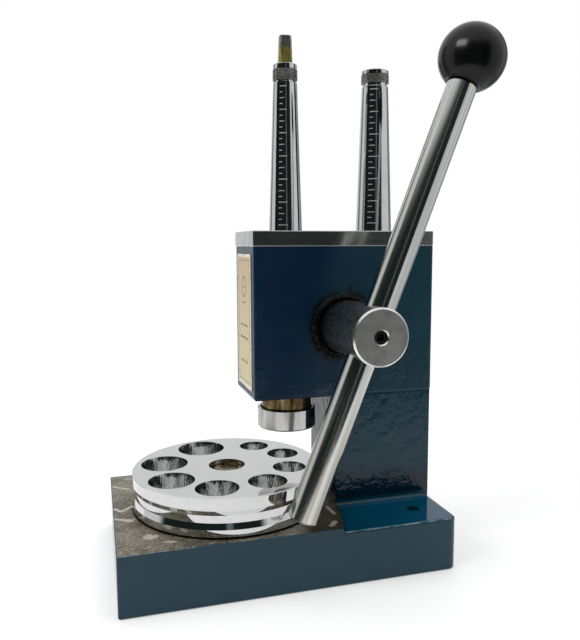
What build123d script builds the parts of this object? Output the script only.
from build123d import *
import os
from math import acos, ceil, cos, floor, pi, radians, sin, sqrt, tan

# Bench press for stretching and reducing finger rings.
# Units are millimetres. X runs across the machine with the lever on the +X side,
# Y runs from the front (-Y) to the back (+Y), Z is up.
# The origin is the centre of the base's underside.

# ---------------------------------------------------------------- base and column
base_width = 119.5
base_length = 187.5
pad_top = 32.5              # milled pad that carries the die plate
cast_top = 30.4             # painted rear part of the base, as cast
base_back = base_length / 2
base_front = -base_length / 2
pad_edge_side_y = 24.8      # back edge of the milled pad at the sides
pad_edge_mid_y = 34.5       # the same edge on the centre line
rear_corner_radius = 5.0
front_corner_radius = 1.2
cast_edge_radius = 1.4
bottom_edge_chamfer = 0.8
mount_hole_radius = 3.65
mount_hole_x = 40.5
mount_hole_y = 75.3

column_half_width = 23.2
column_front = 33.45
column_back = 93.75
column_foot_fillet = 3.0

# ---------------------------------------------------------------- head
head_half_width = 23.6
head_front = -15.1
head_back = 94.5
head_bottom = 96.4
head_top = 183.2
head_edge_radius = 1.6
plate_thickness = 8.8
plate_front = -15.35
plate_back = 93.9
plate_top = head_top + plate_thickness
plate_chamfer = 0.4
plate_screw_x = 17.5
plate_screw_ys = (-9.0, 38.0, 85.0)
plate_screw_radius = 2.5
plate_screw_head_radius = 5.0
plate_screw_length = 18.0
plate_screw_socket = 3.0    # across flats
plate_screw_socket_depth = 2.0
label_width = 35.0
label_height = 78.0
label_thickness = 0.4
label_centre_z = 140.0
label_corner_radius = 1.0

# ---------------------------------------------------------------- rams, racks and pinion
front_axis_y = 10.05
rear_axis_y = 65.95
pinion_y = (front_axis_y + rear_axis_y) / 2
pinion_z = 137.65
ram_radius = 15.0
running_gap = 0.05
ram_bore_radius = ram_radius + running_gap
gear_module = 2.0
pinion_teeth = 16
pressure_angle = 20.0
pitch_radius = gear_module * pinion_teeth / 2
tooth_pitch = pi * gear_module
pinion_tip_radius = pitch_radius + gear_module
rack_addendum = 1.8         # short enough not to undercut a 16 tooth pinion
rack_dedendum = 2.4
pinion_root_radius = pitch_radius - rack_addendum - 0.4
backlash = 0.2
pinion_half_width = 12.0
ram_up = 5.0                # travel of the front ram above the stored position
ram_down = 21.0             # and below it
rack_clearance = 13.2       # half height of the pinion's reach into a round ram
front_ram_bottom = 81.0
front_ram_top = 172.6
rear_ram_bottom = 62.0
rear_ram_top = 156.6
rear_bore_bottom = 55.0
tang_radius = 5.0           # round tail of a wedge pin, screwed into its ram
tang_hole_radius = 5.03
tang_length = 17.0
tang_hole_depth = 18.0
ram_end_chamfer = 0.8
rack_space_reach = 2.0      # how far a tooth space's cutter runs on past the tooth tips

cavity_radius = 18.5        # side bore that the pinion is put in through
cavity_left = -12.6
shaft_radius = 15.25
shaft_end_x = 76.7
shaft_chamfer = 0.9
journal_radius = 10.0
journal_end_x = -24.1
bush_right_x0 = 13.0
bush_right_x1 = 24.2
bush_left_radius = 13.0
bush_left_x1 = -12.6
end_hole_radius = 3.6       # hole for the lever's set screw, in the shaft's end
end_hole_mouth_radius = 4.2
end_hole_mouth_depth = 0.6
washer_radius = 15.0
washer_thickness = 3.0
end_screw_radius = 4.0
end_screw_tip_x = -12.0
end_screw_hole_x = -8.0
end_screw_head_radius = 6.5
end_screw_head_height = 5.0
end_screw_socket = 5.0      # across flats
end_screw_socket_depth = 4.0

# ---------------------------------------------------------------- lever and knob
lever_x = 62.4
lever_radius = 8.0
lever_chamfer = 0.8
lever_tilt = 21.26          # from vertical, knob towards the back
lever_below = 103.1         # from the pinion axis to the lower end
knob_distance = 153.2       # from the pinion axis to the knob's centre
knob_radius = 17.65
knob_flat_radius = 9.6
stud_radius = 5.0
stud_length = 16.0
insert_radius = 7.5
insert_length = 18.0
knob_shoulder = knob_distance - sqrt(knob_radius ** 2 - knob_flat_radius ** 2)
fit_gap = 0.03              # all round between two parts that are pressed or screwed together
set_screw_radius = 3.55
set_screw_length = 4.8
set_screw_socket = 4.0      # across flats
set_screw_socket_depth = 2.6

# ---------------------------------------------------------------- press cap
cap_radius = 17.45
cap_inner_radius = 15.8
cap_bottom = 75.5
cap_top = 87.5
cap_screw_radius = 4.0
cap_screw_head_radius = 7.9
cap_screw_head_height = 4.0
cap_screw_length = 13.8
cap_screw_hole_depth = 16.0
cap_screw_socket = 5.0      # across flats
cap_screw_socket_depth = 3.0

# ---------------------------------------------------------------- die plate
die_axis_y = -27.2
die_radius = 55.2
die_bottom = 32.6
die_top = 53.9
die_groove_low = 37.2         # the rim groove's sides slope, its floor is straight
die_groove_floor_low = 40.6
die_groove_floor_high = 44.7
die_groove_high = 47.4
die_groove_depth = 0.95
die_rim_bevel = 0.6
die_bore_radius = 10.75
post_radius = die_bore_radius - running_gap
post_top = 50.9
post_depth = 15.0
post_chamfer = 1.2
die_taper = 12.0            # half angle of the tapered holes
# Mouth diameter of each tapered hole, its angle about the plate's axis and its distance from it.
die_holes = (
    (29.1, -165.0, 37.6),
    (27.6, -109.5, 37.6),
    (26.0, -62.5, 39.0),
    (24.1, -18.5, 38.7),
    (22.0, 26.0, 37.8),
    (19.4, 67.5, 37.5),
    (19.3, 107.0, 39.5),
    (18.4, 142.8, 39.8),
)

# ---------------------------------------------------------------- mandrels and wedge pins
mandrel_top = 286.7
mandrel_taper = 1 / 30      # radius lost per millimetre of height
slot_angle = 37.0           # first slot, measured from +X
wedge_slope = 0.032         # half width gained per millimetre going down a pin
pin_corner = 0.3            # share of the half width cut off each corner
wedge_gap = 0.04
closed_slot = 0.37          # slot width with the mandrel fully closed
foot_radius = 18.5
foot_bottom = 178.1
foot_top = 183.1
recess_radius = 19.8
recess_bottom = 178.0
foot_groove_depth = 1.3
foot_wire_radius = 0.8
band_wire_radius = 0.6
band_gap = 0.05             # between the band's first turn and the rim over it
wire_clearance = 0.1        # each side of the spring in a foot's groove
groove_bevel = 0.5
rim_step = 0.2
rim_bevel = 0.4

front_mandrel = dict(
    axis_y=front_axis_y, base_radius=9.775, rim_radius=6.9, groove_radius=6.0,
    groove_bottom=276.7, band_top=283.6, band_turns=5, open_shift=0.62,
    pin_top=302.6, pin_half_at_rim=3.95, ram_top=front_ram_top, plate_hole=10.4,
)
rear_mandrel = dict(
    axis_y=rear_axis_y, base_radius=10.8, rim_radius=8.15, groove_radius=7.15,
    groove_bottom=277.6, band_top=284.2, band_turns=4, open_shift=0.13,
    pin_top=285.6, pin_half_at_rim=4.4, ram_top=rear_ram_top, plate_hole=11.9,
)

big = 400.0


def bar_x(radius, x0, x1, y, z):
    """Round bar along X from x0 to x1."""
    return Pos((x0 + x1) / 2, y, z) * Rot(0, 90, 0) * Cylinder(radius, abs(x1 - x0))


def bar_z(radius, z0, z1, x, y):
    """Round bar along Z from z0 to z1."""
    return Pos(x, y, (z0 + z1) / 2) * Cylinder(radius, z1 - z0)


def block(x0, x1, y0, y1, z0, z1):
    """Rectangular block between two corners."""
    return Pos((x0 + x1) / 2, (y0 + y1) / 2, (z0 + z1) / 2) * Box(x1 - x0, y1 - y0, z1 - z0)


def hexagon_x(across_flats, x0, x1, y, z):
    """Hexagonal bar along X, for sockets."""
    profile = Pos(x0, y, z) * Rot(0, 90, 0) * RegularPolygon(across_flats / 2, 6, major_radius=False)
    return extrude(profile, x1 - x0, dir=(1, 0, 0))


def on_lever(part):
    """Carry a part made along +Z at the origin to the lever's place."""
    return Pos(lever_x, pinion_y, pinion_z) * Rot(-lever_tilt, 0, 0) * part


# ---------------------------------------------------------------- casting
def cast_base():
    half = base_width / 2
    body = block(-half, half, base_front, base_back, 0, cast_top)
    upright = body.edges().filter_by(Axis.Z)
    body = fillet(upright.group_by(Axis.Y)[-1], rear_corner_radius)
    upright = body.edges().filter_by(Axis.Z)
    body = fillet(upright.group_by(Axis.Y)[0], front_corner_radius)
    body = fillet(body.edges().group_by(Axis.Z)[-1], cast_edge_radius)
    return body


def milled_pad():
    half = base_width / 2
    outline = Polyline(
        (-half, pad_edge_side_y), (-half, base_front), (half, base_front), (half, pad_edge_side_y)
    )
    back_edge = ThreePointArc(
        (half, pad_edge_side_y), (0, pad_edge_mid_y), (-half, pad_edge_side_y)
    )
    pad = extrude(make_face(outline.edges() + [back_edge.edge()]), pad_top)
    upright = pad.edges().filter_by(Axis.Z)
    return fillet(upright.group_by(Axis.Y)[0], front_corner_radius)


def head_block():
    body = block(-head_half_width, head_half_width, head_front, head_back, head_bottom, head_top)
    soft = body.edges().group_by(Axis.Z)[0] + body.edges().filter_by(Axis.Z)
    return fillet(soft, head_edge_radius)


def foot_fillet(side):
    """Hollow round between the column's side and the top of the base."""
    radius = column_foot_fillet
    length = column_back - cast_edge_radius - column_front
    corner = block(0, radius, 0, length, 0, radius)
    corner -= Pos(radius, length / 2, radius) * Rot(90, 0, 0) * Cylinder(radius, length)
    if side < 0:
        corner = corner.mirror(Plane.YZ)
    return Pos(side * column_half_width, column_front, cast_top) * corner


def frame_casting():
    column = block(
        -column_half_width, column_half_width, column_front, column_back, 10, head_bottom + 10
    )
    foundation = cast_base() + milled_pad()
    under = foundation.faces().sort_by(Axis.Z)[0].outer_wire().edges()
    foundation = chamfer(under, bottom_edge_chamfer)
    casting = foundation + column + foot_fillet(1) + foot_fillet(-1) + head_block()

    casting -= bar_z(ram_bore_radius, head_bottom - 5, head_top + 5, 0, front_axis_y)
    casting -= bar_z(ram_bore_radius, rear_bore_bottom, head_top + 5, 0, rear_axis_y)
    for axis_y in (front_axis_y, rear_axis_y):
        casting -= bar_z(recess_radius, recess_bottom, head_top + 5, 0, axis_y)
    casting -= bar_x(cavity_radius, cavity_left, head_half_width + 5, pinion_y, pinion_z)
    casting -= bar_x(bush_left_radius, -head_half_width - 5, 0, pinion_y, pinion_z)
    casting -= bar_z(post_radius, pad_top - post_depth, pad_top + 5, 0, die_axis_y)
    for x in (-plate_screw_x, plate_screw_x):
        for y in plate_screw_ys:
            casting -= bar_z(plate_screw_radius, head_top - 12, head_top + 5, x, y)
    for x in (-mount_hole_x, mount_hole_x):
        casting -= bar_z(mount_hole_radius, -5, cast_top + 5, x, mount_hole_y)
    return casting


# ---------------------------------------------------------------- head parts
def top_plate():
    plate = block(
        -head_half_width, head_half_width, plate_front, plate_back, head_top, plate_top
    )
    rims = plate.edges().group_by(Axis.Z)[0] + plate.edges().group_by(Axis.Z)[-1]
    plate = chamfer(rims, plate_chamfer)
    for mandrel in (front_mandrel, rear_mandrel):
        plate -= bar_z(mandrel["plate_hole"], head_top - 1, plate_top + 1, 0, mandrel["axis_y"])
    for x in (-plate_screw_x, plate_screw_x):
        for y in plate_screw_ys:
            plate -= plate_screw(0.1, x, y)
    return plate


def plate_screw(extra, x, y):
    """Countersunk screw, its head flush with the top plate, or with extra > 0 its hole."""
    shank = plate_screw_radius + extra
    head = plate_screw_head_radius + extra
    cone_height = head - shank
    screw = bar_z(shank, plate_top - plate_screw_length, plate_top - cone_height, x, y)
    screw += Pos(x, y, plate_top - cone_height / 2) * Cone(shank, head, cone_height)
    return screw


def top_plate_screws():
    socket = RegularPolygon(plate_screw_socket / 2, 6, major_radius=False)
    return [
        plate_screw(0, x, y)
        - extrude(Pos(x, y, plate_top - plate_screw_socket_depth) * socket, big)
        for x in (-plate_screw_x, plate_screw_x)
        for y in plate_screw_ys
    ]


def name_plate():
    z0 = label_centre_z - label_height / 2
    half = label_width / 2
    plate = block(-half, half, head_front - label_thickness, head_front, z0, z0 + label_height)
    return fillet(plate.edges().filter_by(Axis.Y), label_corner_radius)


def shaft_bush_right():
    ring = bar_x(cavity_radius, bush_right_x0, bush_right_x1, pinion_y, pinion_z)
    ring -= bar_x(shaft_radius + running_gap, 0, shaft_end_x, pinion_y, pinion_z)
    return chamfer(ring.edges().group_by(Axis.X)[-1].sort_by(SortBy.LENGTH)[-1], 0.4)


def shaft_bush_left():
    ring = bar_x(bush_left_radius, -head_half_width, bush_left_x1, pinion_y, pinion_z)
    return ring - bar_x(journal_radius + running_gap, -40, 0, pinion_y, pinion_z)


# ---------------------------------------------------------------- pinion, lever and knob
def involute_point(base_radius, radius, thickness_angle, side):
    """Point on one flank of the tooth that points along +X in the sketch plane."""
    angle_here = acos(base_radius / radius)
    inv_here = tan(angle_here) - angle_here
    inv_pitch = tan(radians(pressure_angle)) - radians(pressure_angle)
    angle = side * (thickness_angle + inv_pitch - inv_here)
    return (radius * cos(angle), radius * sin(angle))


def pinion_tooth():
    base_radius = pitch_radius * cos(radians(pressure_angle))
    half_thickness = (tooth_pitch / 2 - backlash) / 2 / pitch_radius
    radii = (base_radius, pitch_radius, pinion_tip_radius)
    left = [involute_point(base_radius, r, half_thickness, -1) for r in radii]
    right = [involute_point(base_radius, r, half_thickness, 1) for r in radii]
    inner = pinion_root_radius - 1.0
    foot_left = (inner, left[0][1] * inner / base_radius)
    foot_right = (inner, right[0][1] * inner / base_radius)
    outline = [
        Line(foot_left, left[0]),
        ThreePointArc(*left),
        ThreePointArc(left[2], (pinion_tip_radius, 0), right[2]),
        ThreePointArc(*reversed(right)),
        Line(right[0], foot_right),
        Line(foot_right, foot_left),
    ]
    return make_face([line.edge() for line in outline])


def pinion_shaft():
    gear = Circle(pinion_root_radius)
    for index in range(pinion_teeth):
        gear += Rot(0, 0, index * 360 / pinion_teeth) * pinion_tooth()
    gear = extrude(gear, 2 * pinion_half_width)
    # The sketch's X turns to the machine's Z, so a tooth points at each rack.
    gear = Pos(-pinion_half_width, pinion_y, pinion_z) * Rot(0, 90, 0) * gear
    shaft = bar_x(shaft_radius, pinion_half_width, shaft_end_x, pinion_y, pinion_z)
    shaft = chamfer(shaft.edges().group_by(Axis.X)[-1], shaft_chamfer)
    shaft += gear
    shaft += bar_x(journal_radius, journal_end_x, 0, pinion_y, pinion_z)
    shaft -= on_lever(Cylinder(lever_radius + fit_gap, big))
    mouth = Rot(0, 90, 0) * Cone(end_hole_radius, end_hole_mouth_radius, end_hole_mouth_depth)
    shaft -= Pos(shaft_end_x - end_hole_mouth_depth / 2, pinion_y, pinion_z) * mouth
    shaft -= bar_x(end_hole_radius, lever_x, shaft_end_x + 1, pinion_y, pinion_z)
    shaft -= bar_x(end_screw_radius, journal_end_x - 1, end_screw_hole_x, pinion_y, pinion_z)
    return shaft


def lever():
    rod = bar_z(lever_radius, -lever_below, knob_shoulder, 0, 0)
    ends = rod.edges().group_by(Axis.Z)
    rod = chamfer(ends[0] + ends[-1], lever_chamfer)
    rod += bar_z(stud_radius, knob_shoulder - 1, knob_shoulder + stud_length, 0, 0)
    return on_lever(rod)


def ball_knob():
    ball = Pos(0, 0, knob_distance) * Sphere(knob_radius)
    ball -= block(-big, big, -big, big, -big, knob_shoulder)
    ball -= bar_z(insert_radius, knob_shoulder - 1, knob_shoulder + insert_length, 0, 0)
    return on_lever(ball)


def ball_knob_insert():
    bush = bar_z(insert_radius, knob_shoulder, knob_shoulder + insert_length, 0, 0)
    bush -= bar_z(stud_radius + fit_gap, knob_shoulder - 1, knob_shoulder + stud_length, 0, 0)
    return on_lever(bush)


def lever_set_screw():
    start = lever_x + lever_radius + running_gap
    end = start + set_screw_length
    screw = bar_x(set_screw_radius, start, end, pinion_y, pinion_z)
    return screw - hexagon_x(
        set_screw_socket, end - set_screw_socket_depth, end + 1, pinion_y, pinion_z
    )


def shaft_end_washer():
    outer = journal_end_x - washer_thickness
    washer = bar_x(washer_radius, outer, journal_end_x, pinion_y, pinion_z)
    washer = chamfer(washer.edges().group_by(Axis.X)[0], 0.5)
    return washer - bar_x(end_screw_radius + 0.2, outer - 1, journal_end_x + 1, pinion_y, pinion_z)


def shaft_end_screw():
    face = journal_end_x - washer_thickness
    outer = face - end_screw_head_height
    screw = bar_x(end_screw_radius, face, end_screw_tip_x, pinion_y, pinion_z)
    head = bar_x(end_screw_head_radius, outer, face, pinion_y, pinion_z)
    screw += chamfer(head.edges().group_by(Axis.X)[0], 0.6)
    return screw - hexagon_x(
        end_screw_socket, outer - 1, outer + end_screw_socket_depth, pinion_y, pinion_z
    )


# ---------------------------------------------------------------- rams
def rack_cutter(towards, z0, z1, axis_y):
    """Everything removed from a round ram to leave teeth facing the pinion."""
    pitch_line = (rear_axis_y - front_axis_y) / 2 - pitch_radius
    tip = pitch_line + rack_addendum
    root = pitch_line - rack_dedendum
    slope = tan(radians(pressure_angle))
    cutter = block(-30, 30, *sorted((axis_y + towards * tip, axis_y + towards * 30)), z0, z1)
    first = ceil((z0 - pinion_z) / tooth_pitch)
    last = floor((z1 - pinion_z) / tooth_pitch)
    half_tip = tooth_pitch / 4 + rack_addendum * slope
    half_root = tooth_pitch / 4 - rack_dedendum * slope
    half_reach = half_tip + rack_space_reach * slope
    for index in range(first, last + 1):
        z = pinion_z + index * tooth_pitch
        points = [
            (axis_y + towards * root, z - half_root),
            (axis_y + towards * (tip + rack_space_reach), z - half_reach),
            (axis_y + towards * (tip + rack_space_reach), z + half_reach),
            (axis_y + towards * root, z + half_root),
        ]
        space = Plane.YZ * make_face(Polyline(*points, close=True))
        cutter += extrude(Pos(-30, 0, 0) * space, 60, dir=(1, 0, 0))
    return cutter


def tang_hole(ram_top, axis_y):
    return bar_z(tang_hole_radius, ram_top - tang_hole_depth, ram_top + 1, 0, axis_y)


def front_ram():
    ram = bar_z(ram_radius, front_ram_bottom, front_ram_top, 0, front_axis_y)
    ram = chamfer(ram.edges().group_by(Axis.Z)[-1], ram_end_chamfer)
    rack_bottom = pinion_z - rack_clearance - ram_up
    ram -= rack_cutter(1, rack_bottom, front_ram_top + 1, front_axis_y)
    ram -= tang_hole(front_ram_top, front_axis_y)
    screw_hole_top = front_ram_bottom + cap_screw_hole_depth
    return ram - bar_z(
        cap_screw_radius, front_ram_bottom - 1, screw_hole_top, 0, front_axis_y
    )


def rear_ram():
    ram = bar_z(ram_radius, rear_ram_bottom, rear_ram_top, 0, rear_axis_y)
    ends = ram.edges().group_by(Axis.Z)
    ram = chamfer(ends[0] + ends[-1], ram_end_chamfer)
    rack_bottom = pinion_z - rack_clearance - ram_down
    ram -= rack_cutter(-1, rack_bottom, rear_ram_top + 1, rear_axis_y)
    return ram - tang_hole(rear_ram_top, rear_axis_y)


def press_cap():
    cap = bar_z(cap_radius, cap_bottom, cap_top, 0, front_axis_y)
    cap = chamfer(cap.edges().group_by(Axis.Z)[0], 0.8)
    cap -= bar_z(cap_inner_radius, front_ram_bottom, cap_top + 1, 0, front_axis_y)
    cap = chamfer(cap.edges().group_by(Axis.Z)[-1], 0.3)
    cap -= cap_screw_shape(0.2, 0.0)
    return cap


def cap_screw_shape(extra, sunk):
    """Countersunk screw under the ram, sunk into the cap, or with extra > 0 its hole."""
    shank = cap_screw_radius + extra
    head = cap_screw_head_radius + extra
    bottom = cap_bottom + sunk
    cone_top = bottom + cap_screw_head_height
    top = cone_top + cap_screw_length
    shape = bar_z(shank, cone_top, top, 0, front_axis_y)
    cone = Pos(0, front_axis_y, (bottom + cone_top) / 2) * Cone(head, shank, cap_screw_head_height)
    return shape + cone


def press_cap_screw():
    screw = cap_screw_shape(0.0, 0.2)
    socket = RegularPolygon(cap_screw_socket / 2, 6, major_radius=False)
    return screw - extrude(Pos(0, front_axis_y, cap_bottom) * socket, cap_screw_socket_depth)


def chamfered_square(half, z):
    """Square of the given half width with its corners cut, flats facing the segments."""
    cut = half * (1 - pin_corner)
    points = [
        (half, -cut), (half, cut), (cut, half), (-cut, half),
        (-half, cut), (-half, -cut), (-cut, -half), (cut, -half),
    ]
    return Pos(0, 0, z) * Rot(0, 0, slot_angle - 45) * make_face(Polyline(*points, close=True))


def wedge_pin(mandrel):
    def half(z):
        return mandrel["pin_half_at_rim"] + (mandrel_top - z) * wedge_slope

    low = mandrel["ram_top"]
    high = mandrel["pin_top"]
    pin = loft([chamfered_square(half(low), low), chamfered_square(half(high), high)], ruled=True)
    pin = chamfer(pin.edges().group_by(Axis.Z)[-1], 0.5)
    pin += bar_z(tang_radius, low - tang_length, low, 0, 0)
    return Pos(0, mandrel["axis_y"], 0) * pin


# ---------------------------------------------------------------- mandrel segments and springs
def mandrel_profile(mandrel):
    """Half section of a closed mandrel, (radius, height) from the foot up."""
    shift = mandrel["open_shift"]

    def cone(z):
        return mandrel["base_radius"] - (z - plate_top) * mandrel_taper - shift

    foot = foot_radius - shift
    foot_groove = foot - foot_groove_depth
    neck = mandrel["base_radius"] - shift
    groove = mandrel["groove_radius"] - shift
    rim = mandrel["rim_radius"] - shift
    middle = (foot_bottom + foot_top) / 2
    half_groove = foot_wire_radius + wire_clearance
    shoulder = mandrel["groove_bottom"] - groove_bevel
    return [
        (0, foot_bottom),
        (foot, foot_bottom),
        (foot, middle - half_groove),
        (foot_groove, middle - half_groove),
        (foot_groove, middle + half_groove),
        (foot, middle + half_groove),
        (foot, foot_top),
        (neck, foot_top),
        (neck, plate_top),
        (cone(shoulder), shoulder),
        (groove, mandrel["groove_bottom"]),
        (groove, mandrel["band_top"]),
        (rim, mandrel["band_top"] + rim_step),
        (rim, mandrel_top - rim_bevel),
        (rim - rim_bevel, mandrel_top),
        (0, mandrel_top),
    ]


def mandrel_segment(mandrel, index):
    shift = mandrel["open_shift"]
    profile = Plane.XZ * make_face(Polyline(*mandrel_profile(mandrel), close=True))
    body = revolve(profile, Axis.Z)
    apex = closed_slot / sqrt(2)
    reach = 30.0
    sector = make_face(
        Polyline((apex, 0), (apex + reach, reach), (apex + reach, -reach), close=True)
    )
    body &= extrude(sector, mandrel_top + 10)

    def flat(z):
        return mandrel["pin_half_at_rim"] + (mandrel_top - z) * wedge_slope + wedge_gap - shift

    low = foot_bottom - 2
    high = mandrel_top + 2
    inner = Plane.XZ * make_face(
        Polyline((-5, low), (flat(low), low), (flat(high), high), (-5, high), close=True)
    )
    body -= extrude(inner, reach, both=True)
    angle = slot_angle + 45 + 90 * index
    return Pos(0, mandrel["axis_y"], 0) * Rot(0, 0, angle) * Pos(shift, 0, 0) * body


def wire_band(mandrel):
    """Close wound spring wire lying in the groove under the rim."""
    pitch = 2 * band_wire_radius
    centre = mandrel["groove_radius"] + band_wire_radius + 0.02
    section = Sketch()
    for turn in range(mandrel["band_turns"]):
        z = mandrel["band_top"] - band_wire_radius - band_gap - turn * pitch
        section += Pos(centre, z) * Circle(band_wire_radius + 0.02)
    band = revolve(Plane.XZ * section, Axis.Z)
    return Pos(0, mandrel["axis_y"], 0) * band


def foot_spring(mandrel):
    centre = foot_radius - foot_groove_depth + foot_wire_radius + 0.03
    z = (foot_bottom + foot_top) / 2
    return Pos(0, mandrel["axis_y"], z) * Torus(centre, foot_wire_radius)


# ---------------------------------------------------------------- die plate and post
def die_plate():
    middle = (die_bottom + die_top) / 2
    groove_floor = die_radius - die_groove_depth
    half_section = [
        (die_bore_radius, die_bottom),
        (die_radius - die_rim_bevel, die_bottom),
        (die_radius, die_bottom + die_rim_bevel),
        (die_radius, die_groove_low),
        (groove_floor, die_groove_floor_low),
        (groove_floor, die_groove_floor_high),
        (die_radius, die_groove_high),
        (die_radius, die_top - die_rim_bevel),
        (die_radius - die_rim_bevel, die_top),
        (die_bore_radius, die_top),
    ]
    plate = revolve(Plane.XZ * make_face(Polyline(*half_section, close=True)), Axis.Z)
    height = die_top - die_bottom
    for diameter, angle, distance in die_holes:
        mouth = diameter / 2
        throat = mouth - height * tan(radians(die_taper))
        x = distance * cos(radians(angle))
        y = distance * sin(radians(angle))
        plate -= Pos(x, y, middle) * Cone(throat, mouth, height)
    return Pos(0, die_axis_y, 0) * plate


def centre_post():
    post = bar_z(post_radius, pad_top - post_depth, post_top, 0, die_axis_y)
    return chamfer(post.edges().group_by(Axis.Z)[-1], post_chamfer)


# ---------------------------------------------------------------- write every piece
pieces = {
    "frame_casting": frame_casting(),
    "top_plate": top_plate(),
    "top_plate_screws": Compound(top_plate_screws()),
    "name_plate": name_plate(),
    "shaft_bush_right": shaft_bush_right(),
    "shaft_bush_left": shaft_bush_left(),
    "centre_post": centre_post(),
    "pinion_shaft": pinion_shaft(),
    "shaft_end_washer": shaft_end_washer(),
    "shaft_end_screw": shaft_end_screw(),
    "lever": lever(),
    "lever_set_screw": lever_set_screw(),
    "ball_knob": ball_knob(),
    "ball_knob_insert": ball_knob_insert(),
    "front_ram": front_ram(),
    "rear_ram": rear_ram(),
    "press_cap": press_cap(),
    "press_cap_screw": press_cap_screw(),
    "die_plate": die_plate(),
}
for name, mandrel in (("front", front_mandrel), ("rear", rear_mandrel)):
    pieces[name + "_wedge_pin"] = wedge_pin(mandrel)
    pieces[name + "_mandrel_band"] = wire_band(mandrel)
    pieces[name + "_foot_spring"] = foot_spring(mandrel)
    for index in range(4):
        pieces[f"{name}_mandrel_segment_{index + 1}"] = mandrel_segment(mandrel, index)

os.makedirs("parts", exist_ok=True)
for name, piece in pieces.items():
    export_step(piece, f"parts/{name}.step")
